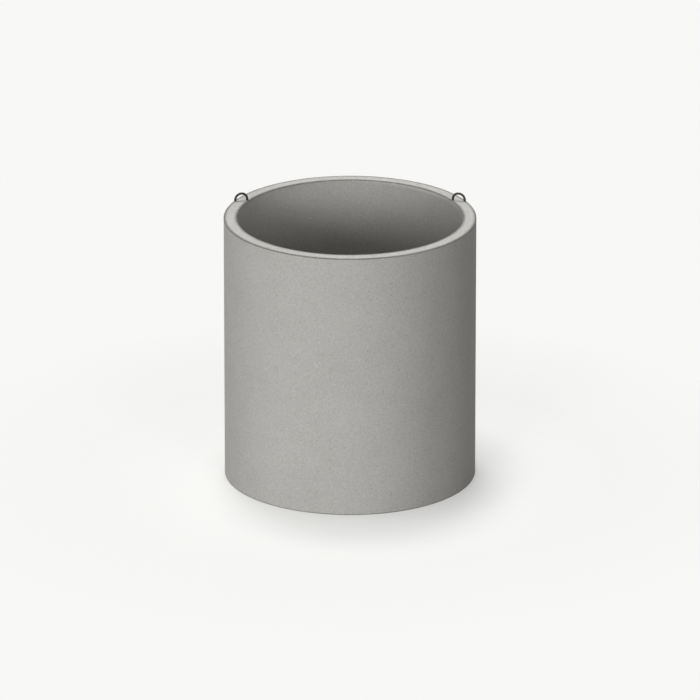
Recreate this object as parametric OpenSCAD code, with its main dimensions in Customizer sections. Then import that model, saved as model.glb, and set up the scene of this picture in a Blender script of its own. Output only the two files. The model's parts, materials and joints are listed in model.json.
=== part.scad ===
// Concrete manhole shaft ring with two cast-in lifting loops.
//
// The ring stands on its lower rim with its axis on Z. The origin is the centre of the lower rim,
// +X is the ring's right and +Y its rear. All sizes are in millimetres.

/* [Ring] */
// Clear diameter of the shaft
inner_d = 1500; // [1000:10:2000]
// Thickness of the concrete wall
wall = 90; // [75:1:110]
// Height from rim to rim
height = 1800; // [600:10:2400]
// Radius of the slightly worn arrises of both rims
arris_r = 4; // [1:0.5:8]

/* [Lifting loops] */
// Diameter of the smooth round bar
bar_d = 16; // [12:1:20]
// Distance between the axes of the two legs
loop_span = 84; // [66:1:110]
// Height of the loop above the upper rim, to the top of the bar
loop_rise = 60; // [56:1:120]
// Angle of the loops behind the ring's side-to-side axis
loop_azimuth = 24; // [0:0.5:70]
// Concrete cover that the wall keeps over each leg
leg_cover = 6.5; // [5:0.5:12]

/* [Anchorage] */
// Depth of the legs below the upper rim, to the lowest point of the hooks
anchor_depth = 320; // [200:10:450]
// Bending radius of the hooks, to the axis of the bar
hook_r = 28; // [24:1:34]
// Length of the straight tail after each hook
tail_l = 48; // [20:1:80]

/* [Hidden] */
$fn = 96;
bar_fn = 48;

inner_r = inner_d / 2;
outer_r = inner_r + wall;

// Each loop stands as squarely across the wall as the cover allows: its inner leg keeps the cover
// to the shaft and its outer leg keeps it to the outside, so the span sets how far apart they stand
// around the wall.
inner_leg_r = inner_r + leg_cover + bar_d / 2;
outer_leg_r = outer_r - leg_cover - bar_d / 2;
leg_swing = acos((inner_leg_r ^ 2 + outer_leg_r ^ 2 - loop_span ^ 2) / (2 * inner_leg_r * outer_leg_r));
inner_leg = polar(inner_leg_r, loop_azimuth + leg_swing / 2);
outer_leg = polar(outer_leg_r, loop_azimuth - leg_swing / 2);

// Levels at which the bar goes from straight to bent
crown_z = height + loop_rise - bar_d / 2 - loop_span / 2;
hook_z = height - anchor_depth + bar_d / 2 + hook_r;

function polar(r, azimuth) = [r * cos(azimuth), r * sin(azimuth)];
function heading(v) = atan2(v.y, v.x);

// Half section of the wall: a rectangle whose four arrises are rounded
module wall_section() {
    translate([inner_r, arris_r]) square([wall, height - 2 * arris_r]);
    translate([inner_r + arris_r, 0]) square([wall - 2 * arris_r, height]);
    for (x = [inner_r + arris_r, outer_r - arris_r], z = [arris_r, height - arris_r])
        translate([x, z]) circle(r = arris_r, $fn = bar_fn);
}

// Straight bar standing at the origin
module bar(length) {
    cylinder(d = bar_d, h = length, $fn = bar_fn);
}

// Half-round bend in the XZ plane about the origin. It starts on the side that angle start gives.
module bend(r, start) {
    rotate([90, 0, 0])
        rotate_extrude(angle = 180, start = start)
            translate([r, 0]) circle(d = bar_d, $fn = bar_fn);
}

// A leg of the loop with its anchor hook. The inner leg has side -1 and the outer leg has side 1.
// The hook leaves square to the loop, the inner one outwards and the outer one inwards, so both
// stay in the thickness of the wall.
module leg(side) {
    translate([side * loop_span / 2, 0, hook_z]) {
        bar(crown_z - hook_z);
        rotate(-side * 90) {
            translate([hook_r, 0, 0]) bend(hook_r, 180);
            translate([2 * hook_r, 0, 0]) bar(tail_l);
        }
    }
}

// A whole loop, with its legs on the X axis either side of the origin
module bent_bar() {
    translate([0, 0, crown_z]) bend(loop_span / 2, 0);
    for (side = [-1, 1]) leg(side);
}

// The right-hand loop in its place in the wall
module seated_loop() {
    translate((inner_leg + outer_leg) / 2)
        rotate(heading(outer_leg - inner_leg))
            bent_bar();
}

module ring() {
    color("#b3b1ac") difference() {
        rotate_extrude() wall_section();
        seated_loop();
        mirror([1, 0, 0]) seated_loop();
    }
}

module lifting_loop_right() {
    color("#474644") seated_loop();
}

module lifting_loop_left() {
    color("#474644") mirror([1, 0, 0]) seated_loop();
}

ring();
lifting_loop_right();
lifting_loop_left();
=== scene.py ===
"""Finish and stage for a precast concrete shaft ring with two cast-in lifting loops.

Every size is in metres, in the frame of the construction model: the ring stands on its lower rim
round the Z axis, +X is its right and +Y is its rear, where the lifting loops are.
"""
import json
import math
import random

import bmesh
import bpy
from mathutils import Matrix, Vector, noise


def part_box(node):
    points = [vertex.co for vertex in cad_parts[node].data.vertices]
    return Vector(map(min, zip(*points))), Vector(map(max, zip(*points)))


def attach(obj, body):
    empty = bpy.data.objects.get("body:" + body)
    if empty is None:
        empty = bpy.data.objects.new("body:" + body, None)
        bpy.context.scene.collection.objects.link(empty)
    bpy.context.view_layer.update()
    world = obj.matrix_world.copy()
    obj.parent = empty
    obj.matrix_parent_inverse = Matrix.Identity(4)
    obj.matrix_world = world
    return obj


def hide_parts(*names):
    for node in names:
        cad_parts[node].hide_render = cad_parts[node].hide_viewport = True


bl_info = {
    "name": "Concrete shaft ring",
    "version": (1, 0, 0),
    "blender": (4, 5, 0),
    "location": "View3D > Sidebar > Shaft Ring",
    "description": "Casts the ring, finishes its lifting loops and sets a plain stage round it",
    "category": "Mesh",
}

MM = 0.001
# Points closer than this are one point.
SAME = 0.01 * MM

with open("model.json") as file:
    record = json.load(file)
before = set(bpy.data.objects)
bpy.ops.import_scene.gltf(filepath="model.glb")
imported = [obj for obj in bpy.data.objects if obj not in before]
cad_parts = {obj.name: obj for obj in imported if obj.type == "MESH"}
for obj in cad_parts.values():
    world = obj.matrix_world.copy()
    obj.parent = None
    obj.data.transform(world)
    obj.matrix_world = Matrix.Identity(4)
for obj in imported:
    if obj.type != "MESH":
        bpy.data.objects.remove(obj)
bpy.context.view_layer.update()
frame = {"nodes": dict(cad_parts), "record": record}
mounts = {mount["name"]: mount for mount in frame["record"]["mounts"]}

INNER_R = mounts["shaft_bore"]["dims"]["r_mm"] * MM
OUTER_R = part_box("ring")[1].x
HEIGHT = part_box("ring")[1].z
MIDDLE_R = (INNER_R + OUTER_R) / 2
HALF_WALL = (OUTER_R - INNER_R) / 2
# The bore runs from arris to arris, so what it lacks of the height is two arris radii.
ARRIS_R = (HEIGHT - mounts["shaft_bore"]["dims"]["length_mm"] * MM) / 2
LOOP_NODES = ("lifting_loop_right", "lifting_loop_left")
LOOP_EYES = ("lifting_eye_right", "lifting_eye_left")


def linear(hex_colour):
    """The linear value of an sRGB colour written as #rrggbb."""
    parts = [int(hex_colour[start:start + 2], 16) / 255 for start in (1, 3, 5)]
    return tuple(c / 12.92 if c <= 0.04045 else ((c + 0.055) / 1.055) ** 2.4 for c in parts)


def colour_property(name, description, hex_colour):
    return bpy.props.FloatVectorProperty(
        name=name, description=description, default=linear(hex_colour), subtype="COLOR", min=0, max=1)


def length_property(name, description, length):
    return bpy.props.FloatProperty(
        name=name, description=description, default=length, min=0, subtype="DISTANCE", unit="LENGTH")


# ---------------------------------------------------------------------------------------------
# Settings
# ---------------------------------------------------------------------------------------------

class CastingSettings(bpy.types.PropertyGroup):
    """Shape of the cast surface."""
    segments: bpy.props.IntProperty(
        name="Segments", description="Steps round the ring", default=256, min=32)
    row: length_property("Row", "Height of one row of faces on the walls", 20 * MM)
    arris_steps: bpy.props.IntProperty(
        name="Arris steps", description="Faces across each rounded arris", default=4, min=1)
    form_wave: length_property(
        "Form wave", "How far the steel form leaves the walls out of true", 0.7 * MM)
    trowel_wave: length_property("Trowel wave", "How uneven the trowel leaves the upper rim", 0.9 * MM)
    chip_depth: length_property("Chips", "Depth of the deepest chips in the upper arrises", 2 * MM)
    pores_per_m2: bpy.props.FloatProperty(
        name="Air pores", description="Open air pores on each square metre of wall", default=75, min=0)
    pore_small: length_property("Smallest pore", "Radius of the smallest modelled pore", 1.2 * MM)
    pore_large: length_property("Largest pore", "Radius of the largest modelled pore", 5 * MM)
    collar_rise: length_property("Collar rise", "Height of the cement drawn up round each loop leg", 3 * MM)
    collar_spread: length_property(
        "Collar spread", "Width of the cement drawn up round each loop leg", 4.5 * MM)
    bar_r: length_property("Bar radius", "Radius of the loops' bar", 8 * MM)
    leg_span: length_property("Leg span", "Distance between the axes of a loop's legs", 84 * MM)
    seed: bpy.props.IntProperty(name="Seed", description="Picks the places of the pores", default=7)


class ConcreteSettings(bpy.types.PropertyGroup):
    """Colours and grain of the concrete."""
    shade: colour_property("Darker cement", "Colour of the darker cement skin", "#a3a19d")
    light: colour_property("Lighter cement", "Colour of the lighter cement skin", "#c4c2be")
    pit: colour_property("Pits", "Colour of small open pits", "#8b8984")
    grain: colour_property("Pale grains", "Colour of pale sand grains at the surface", "#d0cec9")
    # Painted shade: a dark colour laid in bands along every arris. It gives outlines on the upper arrises,
    # and along the foot of the walls the shade where they meet the floor.
    shaded: colour_property("Shaded arris", "Colour of the handled and worn arrises", "#4a4845")
    cloud_size: length_property("Clouds", "Size of the soft clouds in the cement skin", 420 * MM)
    blotch_size: length_property("Blotches", "Size of the blotches in the cement skin", 85 * MM)
    speck_size: length_property("Specks", "Size of the specks that the sand gives the skin", 11 * MM)
    sand_size: length_property("Sand", "Size of the fine sand", 2.2 * MM)
    pit_spacing: length_property("Pit spacing", "Distance between small open pits", 18 * MM)
    pit_r: length_property("Pit radius", "Radius of the largest of these pits", 7.5 * MM)
    grain_spacing: length_property("Grain spacing", "Distance between pale grains", 22 * MM)
    grain_r: length_property("Grain radius", "Radius of the largest of these grains", 8.5 * MM)
    # Widths of the bands of painted shade along the arrises, on the rims and on the walls.
    shaded_rim: length_property("Shaded rim", "Width of the worn band beside an arris on the rims", 28 * MM)
    shaded_wall: length_property("Shaded wall", "Width of the worn band beside an arris on the walls", 10 * MM)


class SteelSettings(bpy.types.PropertyGroup):
    """Colours of the hot-rolled bar."""
    scale: colour_property("Mill scale", "Colour of the mill scale", "#2e2d2c")
    rubbed: colour_property("Rubbed steel", "Colour where the scale is rubbed", "#484643")
    patch_size: length_property("Patches", "Size of the patches in the mill scale", 14 * MM)


class StageSettings(bpy.types.PropertyGroup):
    """Floor, light and camera."""
    backdrop: colour_property("Backdrop", "Colour of the floor and of what lies behind", "#f8f8f6")
    bounce: colour_property("Floor bounce", "Colour that the floor throws back at the object", "#616160")
    surround: colour_property("Surround", "Colour of the dim, even light from all round", "#424242")
    floor_r: length_property("Floor radius", "Radius of the floor", 300)
    shadow_share: bpy.props.FloatProperty(
        name="Shadow", description="Share of the ring's shadow that the floor shows", default=0.66,
        min=0, max=1, subtype="FACTOR")
    shadow_near: length_property("Full shadow", "Distance from the axis to which the shadow is whole", 1.8)
    shadow_far: length_property("End of shadow", "Distance from the axis at which no shadow is left", 3)
    lens: bpy.props.FloatProperty(
        name="Lens", description="Focal length in millimetres", default=491.7, min=1)
    distance: length_property("Distance", "Distance of the camera from the point it aims at", 63.85)
    elevation: bpy.props.FloatProperty(
        name="Elevation", description="How far the camera looks down",
        default=math.radians(20.1), subtype="ANGLE", unit="ROTATION")
    aim_height: length_property("Aim height", "Height of the point that the camera aims at", 0.858)


# ---------------------------------------------------------------------------------------------
# Shared helpers
# ---------------------------------------------------------------------------------------------

def add(tree, kind, inputs=None, **settings):
    """Adds one node. inputs maps a socket's name or number to its value or to the socket that feeds it."""
    made = tree.nodes.new("ShaderNode" + kind)
    for name, value in settings.items():
        setattr(made, name, value)
    for socket, value in (inputs or {}).items():
        if isinstance(value, bpy.types.NodeSocket):
            tree.links.new(value, made.inputs[socket])
        else:
            made.inputs[socket].default_value = value
    return made


def opaque(colour):
    """The colour with full alpha, as a node's colour socket takes it."""
    return (*colour, 1)


def new_material(name):
    """An empty node material, with its tree and its output."""
    material = bpy.data.materials.new(name)
    material.use_nodes = True
    material.node_tree.nodes.clear()
    return material, material.node_tree, add(material.node_tree, "OutputMaterial")


def new_object(name, bm):
    """Links a new object that holds the mesh, and frees the bmesh."""
    mesh = bpy.data.meshes.new(name)
    bm.to_mesh(mesh)
    bm.free()
    made = bpy.data.objects.new(name, mesh)
    bpy.context.scene.collection.objects.link(made)
    return made


def apply_modifiers(piece):
    """Makes the piece's mesh what its modifiers show."""
    shown = piece.evaluated_get(bpy.context.evaluated_depsgraph_get())
    mesh = bpy.data.meshes.new_from_object(shown)
    piece.modifiers.clear()
    piece.data = mesh


def combine(piece, tool, operation):
    """Joins the tool's solid to the piece, or cuts it out, and removes the tool."""
    modifier = piece.modifiers.new(operation.title(), "BOOLEAN")
    modifier.operation = operation
    modifier.solver = "MANIFOLD"
    modifier.object = tool
    apply_modifiers(piece)
    bpy.data.objects.remove(tool)


# ---------------------------------------------------------------------------------------------
# Concrete ring
# ---------------------------------------------------------------------------------------------

def draw_wall_section(bm, casting):
    """Leaves the outline of the wall's half section, standing on the X axis, as wire edges."""
    corners = [(INNER_R, 0), (OUTER_R, 0), (OUTER_R, HEIGHT), (INNER_R, HEIGHT)]
    section = bm.faces.new([bm.verts.new((x, 0, z)) for x, z in corners])
    bmesh.ops.bevel(
        bm, geom=section.verts[:], offset=ARRIS_R, segments=casting.arris_steps, profile=0.5,
        affect="VERTICES", material=-1)
    bmesh.ops.delete(bm, geom=bm.faces[:], context="FACES_ONLY")
    straight = [edge for edge in bm.edges if edge.calc_length() > 2 * ARRIS_R]
    for edge in straight:
        cuts = round(edge.calc_length() / casting.row) - 1
        bmesh.ops.bisect_edges(bm, edges=[edge], cuts=cuts)


def sort_faces(bm):
    """Puts the faces in one fixed order. The spin leaves them in another order on every run."""
    bm.verts.index_update()

    def place(face):
        corners = [vert.index for vert in face.verts]
        return min(corners) * len(bm.verts) + max(corners)

    bm.faces.sort(key=place)


def spin_wall(casting):
    """The whole ring as one closed shell of rows and columns."""
    bm = bmesh.new()
    draw_wall_section(bm, casting)
    bmesh.ops.spin(
        bm, geom=bm.verts[:] + bm.edges[:], cent=(0, 0, 0), axis=(0, 0, 1), dvec=(0, 0, 0),
        angle=2 * math.pi, steps=casting.segments, use_merge=True)
    bmesh.ops.remove_doubles(bm, verts=bm.verts[:], dist=SAME)
    bmesh.ops.recalc_face_normals(bm, faces=bm.faces[:])
    sort_faces(bm)
    return bm


def depth_from_faces(point):
    """How deep a point lies under the nearest wall face and under the upper rim."""
    radius = math.hypot(point.x, point.y)
    return HALF_WALL - abs(radius - MIDDLE_R), HEIGHT - point.z


def work_surface(bm, casting):
    """Leaves the shell as form and trowel do: slightly out of true, and chipped along the upper arrises.

    Everything moves inwards, so the ring keeps its outer size, and the lower rim stays flat.
    """
    form_length, trowel_length, chip_length = 260 * MM, 60 * MM, 34 * MM
    # Noise below this level leaves the arris whole.
    chip_level = 0.2
    bm.normal_update()
    moves = {}
    for vert in bm.verts:
        under_wall, under_rim = depth_from_faces(vert.co)
        if vert.co.z <= ARRIS_R:
            continue
        on_rim = under_rim < SAME
        wave = casting.trowel_wave if on_rim else casting.form_wave
        length = trowel_length if on_rim else form_length
        move = wave * (0.5 + 0.5 * noise.noise(vert.co / length))
        if under_wall < ARRIS_R and under_rim < ARRIS_R:
            chip = max(0, noise.noise(vert.co / chip_length) - chip_level) / (1 - chip_level)
            move = casting.chip_depth * chip
        moves[vert] = vert.normal * -move
    for vert, move in moves.items():
        vert.co += move


def wall_faces(bm, radius):
    """The faces of one of the two walls, clear of the arrises."""
    near, clear = 2 * MM, 10 * MM
    return [
        face for face in bm.faces
        if abs(face.calc_center_median().xy.length - radius) < near
        and clear < face.calc_center_median().z < HEIGHT - clear]


class Pore:
    """A round air pore in a wall face, which sets the corners of that face and of what is inset in it."""

    # A wall face is about 20 mm wide, so a pore that keeps within this of its middle stays inside it.
    reach = 8 * MM

    def __init__(self, face, casting, dice):
        self.face = face
        self.out = face.normal.copy()
        self.across = self.out.cross(Vector((0, 0, 1))).normalized()
        self.up = self.across.cross(self.out)
        # Small pores are far more common than large ones.
        self.radius = casting.pore_small + (casting.pore_large - casting.pore_small) * dice.random() ** 3
        self.depth = self.radius * dice.uniform(0.5, 0.9)
        self.squeeze = dice.uniform(0.75, 1)
        slack = self.reach - self.radius
        self.middle = (
            face.calc_center_median()
            + self.across * dice.uniform(-slack, slack) + self.up * dice.uniform(-slack, slack))

    def shape(self, share, sink):
        """Puts the face's corners on an oval of a share of the radius, sunk by a share of the depth."""
        centre = self.face.calc_center_median()
        radius = self.radius * share
        for vert in self.face.verts:
            offset = vert.co - centre
            angle = math.atan2(offset.dot(self.up), offset.dot(self.across))
            vert.co = (
                self.middle - self.out * self.depth * sink
                + self.across * radius * math.cos(angle)
                + self.up * radius * self.squeeze * math.sin(angle))


def open_pores(bm, faces, casting, dice):
    """Opens air pores in some of the faces: a round mouth and a bowl behind it.

    The insets only make the faces, and each pore then puts their corners in place. Inset faces share
    no edge, so each edge is listed once.
    """
    area = sum(face.calc_area() for face in faces)
    chosen = dice.sample(faces, round(area * casting.pores_per_m2))
    pores = [Pore(face, casting, dice) for face in chosen]
    bmesh.ops.inset_individual(bm, faces=chosen, thickness=5 * MM)
    bmesh.ops.bisect_edges(bm, edges=[edge for face in chosen for edge in face.edges], cuts=1)
    for pore in pores:
        pore.shape(1, 0)
    for share, sink in ((0.8, 0.6), (0.45, 1)):
        bmesh.ops.inset_individual(bm, faces=chosen, thickness=0.1 * MM)
        for pore in pores:
            pore.shape(share, sink)


def cement_collar(casting, place):
    """Cement drawn up round a loop leg: a low flared cone with a thin lip and its foot under the rim."""
    steps, foot, lip = 5, 2 * MM, 0.5 * MM
    bm = bmesh.new()
    made = bmesh.ops.create_circle(
        bm, cap_ends=False, segments=32, radius=casting.bar_r + casting.collar_spread)
    bmesh.ops.translate(bm, verts=made["verts"], vec=(0, 0, -foot))
    edges = bm.edges[:]
    for step in range(steps + 1):
        rise = step / steps
        grown = bmesh.ops.extrude_edge_only(bm, edges=edges)["geom"]
        verts = [part for part in grown if isinstance(part, bmesh.types.BMVert)]
        edges = [edge for edge in bm.edges if all(vert in verts for vert in edge.verts)]
        radius = casting.bar_r + lip + (casting.collar_spread - lip) * (1 - rise) ** 2
        for vert in verts:
            flat = vert.co.xy.normalized() * radius
            vert.co = (flat.x, flat.y, casting.collar_rise * rise)
    bmesh.ops.holes_fill(bm, edges=bm.edges[:])
    bmesh.ops.recalc_face_normals(bm, faces=bm.faces[:])
    bmesh.ops.translate(bm, verts=bm.verts[:], vec=place)
    return new_object("collar_tool", bm)


def leg_places(casting):
    """Where the loops' legs leave the upper rim."""
    for eye in LOOP_EYES:
        centre, square = Vector(mounts[eye]["pos_m"]), Vector(mounts[eye]["axis"])
        along = square.cross(Vector((0, 0, 1))).normalized()
        for side in (-1, 1):
            leg = centre + along * side * casting.leg_span / 2
            yield Vector((leg.x, leg.y, HEIGHT - casting.trowel_wave / 2))


def loop_solid(name):
    """A closed copy of a loop, to cut its channel with."""
    bm = bmesh.new()
    bm.from_mesh(frame["nodes"][name].data)
    bmesh.ops.remove_doubles(bm, verts=bm.verts[:], dist=0.001 * MM)
    return new_object("channel_tool", bm)


def shade(piece):
    """Smooth shading that keeps flat faces flat beside the narrow faces of an arris."""
    # The steps of an arris bend by less than this, and the mouth of a pore by more.
    sharp = math.radians(38)
    piece.data.shade_smooth()
    piece.data.set_sharp_from_angle(angle=sharp)
    modifier = piece.modifiers.new("Weighted normals", "WEIGHTED_NORMAL")
    modifier.mode = "FACE_AREA"
    modifier.keep_sharp = True


def way_from_arris(tree, point, on_rim, on_wall):
    """A socket that grows from 0 at an arris to 1 at the given widths away from it, over rim and wall."""
    flat = add(tree, "VectorMath", {0: point, 1: (1, 1, 0)}, operation="MULTIPLY")
    radius = add(tree, "VectorMath", {0: flat.outputs[0]}, operation="LENGTH")
    split = add(tree, "SeparateXYZ", {0: point})
    total = 0.0
    for value, middle, half, width in (
            (radius.outputs["Value"], MIDDLE_R, HALF_WALL, on_rim),
            (split.outputs["Z"], HEIGHT / 2, HEIGHT / 2, on_wall)):
        off = add(tree, "Math", {0: value, 1: middle}, operation="SUBTRACT")
        size = add(tree, "Math", {0: off.outputs[0]}, operation="ABSOLUTE")
        under = add(tree, "Math", {0: half, 1: size.outputs[0]}, operation="SUBTRACT")
        total = add(
            tree, "Math", {0: under.outputs[0], 1: 1 / width, 2: total},
            operation="MULTIPLY_ADD").outputs[0]
    return total


def layered_noise(tree, point, layers):
    """A socket with the sum of noise layers about zero. A layer is a size, a strength and a detail."""
    total = 0.0
    for size, strength, detail in layers:
        grain = add(tree, "TexNoise", {
            "Vector": point, "Scale": 1 / size, "Detail": detail, "Roughness": 0.6})
        centred = add(tree, "Math", {0: grain.outputs[0], 1: 0.5}, operation="SUBTRACT")
        total = add(
            tree, "Math", {0: centred.outputs[0], 1: strength, 2: total},
            operation="MULTIPLY_ADD").outputs[0]
    return total


def scattered_dots(tree, point, spacing, radius, share):
    """A socket that rises to 1 in round dots scattered over the surface, of which a share is kept.

    The dots have all sizes up to the radius, and those under smallest, a share of it, are left out.
    """
    smallest = 0.02
    cells = add(tree, "TexVoronoi", {"Vector": point, "Scale": 1 / spacing, "Randomness": 1})
    size = add(tree, "MapRange", {"Value": cells.outputs["Color"], "From Min": 1 - share, "From Max": 1})
    edge = add(tree, "Math", {0: size.outputs[0], 1: radius / spacing}, operation="MULTIPLY")
    near = add(
        tree, "MapRange",
        {"Value": cells.outputs["Distance"], "From Min": edge.outputs[0], "From Max": 0},
        interpolation_type="SMOOTHSTEP")
    kept = add(tree, "Math", {0: size.outputs[0], 1: smallest}, operation="GREATER_THAN")
    return add(tree, "Math", {0: near.outputs[0], 1: kept.outputs[0]}, operation="MULTIPLY").outputs[0]


def cast_concrete(settings):
    """Fair-faced precast concrete from a steel form: a dull, closed cement skin over fine sand.

    It reads as even mid grey with soft clouds, a fine speckle of sand, small open pits and pale
    grains, and bands of painted shade that darken every arris.
    """
    pit_depth = 0.8 * MM
    material, tree, output = new_material("precast_concrete")
    point = add(tree, "TexCoord").outputs["Object"]
    # The specks, pits and pale grains are far larger than real ones, which are too fine to show.
    tone = layered_noise(tree, point, (
        (settings.cloud_size, 0.35, 3), (settings.blotch_size, 0.2, 3),
        (settings.speck_size, 1.3, 2), (settings.sand_size, 0.8, 2)))
    level = add(tree, "Math", {0: tone, 1: 0.5}, operation="ADD")
    skin = add(
        tree, "Mix", {0: level.outputs[0], 6: opaque(settings.shade), 7: opaque(settings.light)},
        data_type="RGBA")
    pits = scattered_dots(tree, point, settings.pit_spacing, settings.pit_r, share=0.7)
    # The grains' pattern is moved aside, so that the grains don't follow the pits.
    aside = add(tree, "Mapping", {"Vector": point, "Location": (3.1, 5.3, 7.7)})
    grains = scattered_dots(
        tree, aside.outputs[0], settings.grain_spacing, settings.grain_r, share=0.5)
    pitted = add(tree, "Mix", {0: pits, 6: skin.outputs[2], 7: opaque(settings.pit)}, data_type="RGBA")
    grained = add(
        tree, "Mix", {0: grains, 6: pitted.outputs[2], 7: opaque(settings.grain)}, data_type="RGBA")
    uneven = layered_noise(tree, point, ((40 * MM, 0.3, 3), (8 * MM, 0.3, 2)))
    # Painted shade: the colour darkens in ragged bands towards every arris. These are outlines along the
    # upper arrises and the shade along the foot of the walls.
    away = way_from_arris(tree, point, settings.shaded_rim, settings.shaded_wall)
    ragged = add(tree, "Math", {0: away, 1: uneven}, operation="ADD")
    shaded = add(
        tree, "MapRange",
        {"Value": ragged.outputs[0], "From Min": 1, "From Max": 0, "To Min": 0, "To Max": 0.88},
        interpolation_type="SMOOTHSTEP")
    colour = add(
        tree, "Mix", {0: shaded.outputs[0], 6: grained.outputs[2], 7: opaque(settings.shaded)},
        data_type="RGBA")
    relief = layered_noise(tree, point, (
        (settings.speck_size, 1.0 * MM, 2), (settings.sand_size, 0.45 * MM, 2)))
    sunk = add(tree, "Math", {0: pits, 1: -pit_depth, 2: relief}, operation="MULTIPLY_ADD")
    bump = add(tree, "Bump", {"Height": sunk.outputs[0], "Strength": 0.9, "Distance": 1.0})
    rough = add(tree, "MapRange", {"Value": level.outputs[0], "To Min": 0.96, "To Max": 0.82})
    shader = add(tree, "BsdfPrincipled", {
        "Base Color": colour.outputs[2], "Roughness": rough.outputs[0], "Normal": bump.outputs[0]})
    tree.links.new(shader.outputs[0], output.inputs[0])
    return material


class SHAFTRING_OT_cast_ring(bpy.types.Operator):
    """Cast the concrete ring, with its pores, the painted shade along its arrises and the channels of its
    loops
    """
    bl_idname = "shaft_ring.cast_ring"
    bl_label = "Cast ring"

    def execute(self, context):
        casting = context.scene.shaft_ring_casting
        dice = random.Random(casting.seed)
        bm = spin_wall(casting)
        work_surface(bm, casting)
        for radius in (OUTER_R, INNER_R):
            open_pores(bm, wall_faces(bm, radius), casting, dice)
        ring = new_object("concrete_ring", bm)
        for place in leg_places(casting):
            combine(ring, cement_collar(casting, place), "UNION")
        for name in LOOP_NODES:
            combine(ring, loop_solid(name), "DIFFERENCE")
        shade(ring)
        ring.data.materials.clear()
        ring.data.materials.append(cast_concrete(context.scene.shaft_ring_concrete))
        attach(ring, "root")
        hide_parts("ring")
        return {"FINISHED"}


# ---------------------------------------------------------------------------------------------
# Lifting loops
# ---------------------------------------------------------------------------------------------

def hot_rolled_steel(settings):
    """Hot-rolled round steel bar, bent cold, with its mill scale on.

    It reads as a dark, dull grey metal with soft patches and a faint sheen along the bend.
    """
    material, tree, output = new_material("hot_rolled_steel")
    point = add(tree, "TexCoord").outputs["Object"]
    tone = layered_noise(tree, point, ((settings.patch_size, 1.6, 4), (2 * MM, 0.8, 2)))
    level = add(tree, "Math", {0: tone, 1: 0.4}, operation="ADD", use_clamp=True)
    colour = add(
        tree, "Mix", {0: level.outputs[0], 6: opaque(settings.scale), 7: opaque(settings.rubbed)},
        data_type="RGBA")
    rough = add(tree, "MapRange", {"Value": level.outputs[0], "To Min": 0.62, "To Max": 0.42})
    relief = layered_noise(tree, point, ((3 * MM, 0.12 * MM, 3), (0.8 * MM, 0.05 * MM, 2)))
    bump = add(tree, "Bump", {"Height": relief, "Strength": 0.6, "Distance": 1.0})
    shader = add(tree, "BsdfPrincipled", {
        "Base Color": colour.outputs[2], "Metallic": 0.8, "Roughness": rough.outputs[0],
        "Normal": bump.outputs[0]})
    tree.links.new(shader.outputs[0], output.inputs[0])
    return material


class SHAFTRING_OT_finish_loops(bpy.types.Operator):
    """Give the lifting loops the finish of hot-rolled bar"""
    bl_idname = "shaft_ring.finish_loops"
    bl_label = "Finish loops"

    def execute(self, context):
        steel = hot_rolled_steel(context.scene.shaft_ring_steel)
        for name in LOOP_NODES:
            loop = frame["nodes"][name]
            loop.material_slots[0].material = steel
        return {"FINISHED"}


# ---------------------------------------------------------------------------------------------
# Stage
# ---------------------------------------------------------------------------------------------

def seen_directly(tree):
    """A socket that is 1 for what the camera, a mirror or glass shows, and 0 for what lights the ring."""
    path = add(tree, "LightPath").outputs
    either = add(tree, "Math", {0: path["Is Camera Ray"], 1: path["Is Glossy Ray"]}, operation="MAXIMUM")
    return add(
        tree, "Math", {0: either.outputs[0], 1: path["Is Transmission Ray"]},
        operation="MAXIMUM").outputs[0]


def pale_floor(settings):
    """Matt pale floor: it shows as the backdrop's own colour, with a soft share of the object's shadow.

    The shadow fades out away from the object, so that the floor meets the backdrop without a line.
    """
    # The floor gets a little less than this share of the light that shows a colour as it is written,
    # so what shows of it near the ring is a touch darker than the backdrop: a faint painted shade
    # round the ring, which fades out with the shadow.
    floor_light = 1.18
    material, tree, output = new_material("matt_floor")
    point = add(tree, "TexCoord").outputs["Object"]
    away = add(tree, "VectorMath", {0: point}, operation="LENGTH")
    share = add(tree, "MapRange", {
        "Value": away.outputs["Value"], "From Min": settings.shadow_near,
        "From Max": settings.shadow_far, "To Min": settings.shadow_share, "To Max": 0})
    even = add(tree, "Emission", {"Color": opaque(settings.backdrop)})
    lit = add(tree, "BsdfDiffuse", {"Color": opaque(tuple(c / floor_light for c in settings.backdrop))})
    shown = add(tree, "MixShader", {0: share.outputs[0], 1: even.outputs[0], 2: lit.outputs[0]})
    bounce = add(tree, "BsdfDiffuse", {"Color": opaque(settings.bounce)})
    mixed = add(tree, "MixShader", {0: seen_directly(tree), 1: bounce.outputs[0], 2: shown.outputs[0]})
    tree.links.new(mixed.outputs[0], output.inputs[0])
    return material


def lay_floor(settings):
    """A plain disc under the ring, wide enough to have no edge in sight."""
    bm = bmesh.new()
    bmesh.ops.create_circle(bm, cap_ends=True, segments=64, radius=settings.floor_r)
    floor = new_object("floor", bm)
    floor.data.materials.append(pale_floor(settings))


def light_backdrop(settings):
    """The world: an even, dim surround that shows as the backdrop's colour."""
    world = bpy.data.worlds.new("studio")
    world.use_nodes = True
    tree = world.node_tree
    tree.nodes.clear()
    surround = add(tree, "Background", {"Color": opaque(settings.surround)})
    backdrop = add(tree, "Background", {"Color": opaque(settings.backdrop)})
    mixed = add(tree, "MixShader", {0: seen_directly(tree), 1: surround.outputs[0], 2: backdrop.outputs[0]})
    output = add(tree, "OutputWorld")
    tree.links.new(mixed.outputs[0], output.inputs[0])
    bpy.context.scene.world = world


def direction(azimuth, elevation):
    """The unit vector towards a place round the object. Azimuth 0 is the front and 90 the right."""
    turn, rise = math.radians(azimuth), math.radians(elevation)
    return Vector((math.sin(turn) * math.cos(rise), -math.cos(turn) * math.cos(rise), math.sin(rise)))


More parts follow.
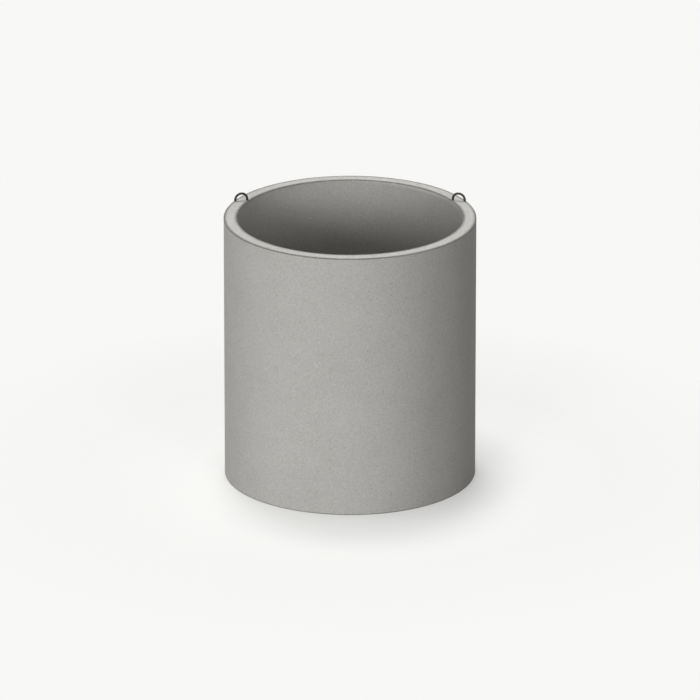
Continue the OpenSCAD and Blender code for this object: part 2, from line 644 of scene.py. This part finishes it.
def hang_lamp(name, azimuth, elevation, spread, irradiance):
    """A distant soft lamp that fills an angle of spread degrees, as seen from the ring.

    Its irradiance is a share of what shows a colour as it is written.
    """
    lamp = bpy.data.lights.new(name, "SUN")
    lamp.energy = irradiance * math.pi
    lamp.angle = math.radians(spread)
    holder = bpy.data.objects.new(name, lamp)
    towards = direction(azimuth, elevation)
    # Only its direction counts. The place keeps it out of the ring when the scene is opened.
    holder.location = towards * 10
    holder.rotation_euler = towards.to_track_quat("Z", "Y").to_euler()
    bpy.context.scene.collection.objects.link(holder)


def place_camera(settings):
    """A camera straight in front, looking down into the ring."""
    camera = bpy.data.cameras.new("camera")
    camera.lens = settings.lens
    camera.clip_end = 2 * settings.floor_r
    holder = bpy.data.objects.new("camera", camera)
    towards = direction(0, math.degrees(settings.elevation))
    holder.location = Vector((0, 0, settings.aim_height)) + towards * settings.distance
    holder.rotation_euler = towards.to_track_quat("Z", "Y").to_euler()
    bpy.context.scene.collection.objects.link(holder)
    bpy.context.scene.camera = holder


class SHAFTRING_OT_set_stage(bpy.types.Operator):
    """Set the plain stage: floor, backdrop, soft lamps and camera"""
    bl_idname = "shaft_ring.set_stage"
    bl_label = "Set stage"

    def execute(self, context):
        settings = context.scene.shaft_ring_stage
        lay_floor(settings)
        light_backdrop(settings)
        # The left and right lamps reach down into the shaft. The side and back lamps stand so low
        # that they light little but the outer wall.
        hang_lamp("overhead_lamp", azimuth=-90, elevation=86, spread=20, irradiance=0.57)
        hang_lamp("rear_lamp", azimuth=-170, elevation=74, spread=14, irradiance=0.385)
        hang_lamp("front_lamp", azimuth=0, elevation=24, spread=30, irradiance=0.03)
        hang_lamp("left_lamp", azimuth=-25, elevation=10.5, spread=18, irradiance=0.345)
        hang_lamp("right_lamp", azimuth=25, elevation=10.5, spread=18, irradiance=0.225)
        hang_lamp("side_lamp", azimuth=-50, elevation=0.6, spread=1, irradiance=0.312)
        hang_lamp("back_lamp", azimuth=180, elevation=1, spread=1.6, irradiance=0.38)
        place_camera(settings)
        context.scene.view_settings.view_transform = "Standard"
        return {"FINISHED"}


# ---------------------------------------------------------------------------------------------
# Panel and registration
# ---------------------------------------------------------------------------------------------

class SHAFTRING_PT_panel(bpy.types.Panel):
    """Lists the steps that make the ring"""
    bl_idname = "SHAFTRING_PT_panel"
    bl_label = "Shaft Ring"
    bl_space_type = "VIEW_3D"
    bl_region_type = "UI"
    bl_category = "Shaft Ring"

    def draw(self, context):
        for operator in OPERATORS:
            self.layout.operator(operator.bl_idname)
        for name, group in SETTINGS.items():
            box = self.layout.box()
            box.label(text=group.__doc__)
            for key in group.__annotations__:
                box.prop(getattr(context.scene, name), key)


SETTINGS = {
    "shaft_ring_casting": CastingSettings,
    "shaft_ring_concrete": ConcreteSettings,
    "shaft_ring_steel": SteelSettings,
    "shaft_ring_stage": StageSettings,
}
OPERATORS = (SHAFTRING_OT_cast_ring, SHAFTRING_OT_finish_loops, SHAFTRING_OT_set_stage)


def register():
    for made in (*SETTINGS.values(), *OPERATORS, SHAFTRING_PT_panel):
        bpy.utils.register_class(made)
    for name, group in SETTINGS.items():
        setattr(bpy.types.Scene, name, bpy.props.PointerProperty(type=group))


def unregister():
    for name in SETTINGS:
        delattr(bpy.types.Scene, name)
    for made in reversed((*SETTINGS.values(), *OPERATORS, SHAFTRING_PT_panel)):
        bpy.utils.unregister_class(made)


def main():
    register()
    bpy.ops.shaft_ring.cast_ring()
    bpy.ops.shaft_ring.finish_loops()
    bpy.ops.shaft_ring.set_stage()


if __name__ == "__main__":
    main()
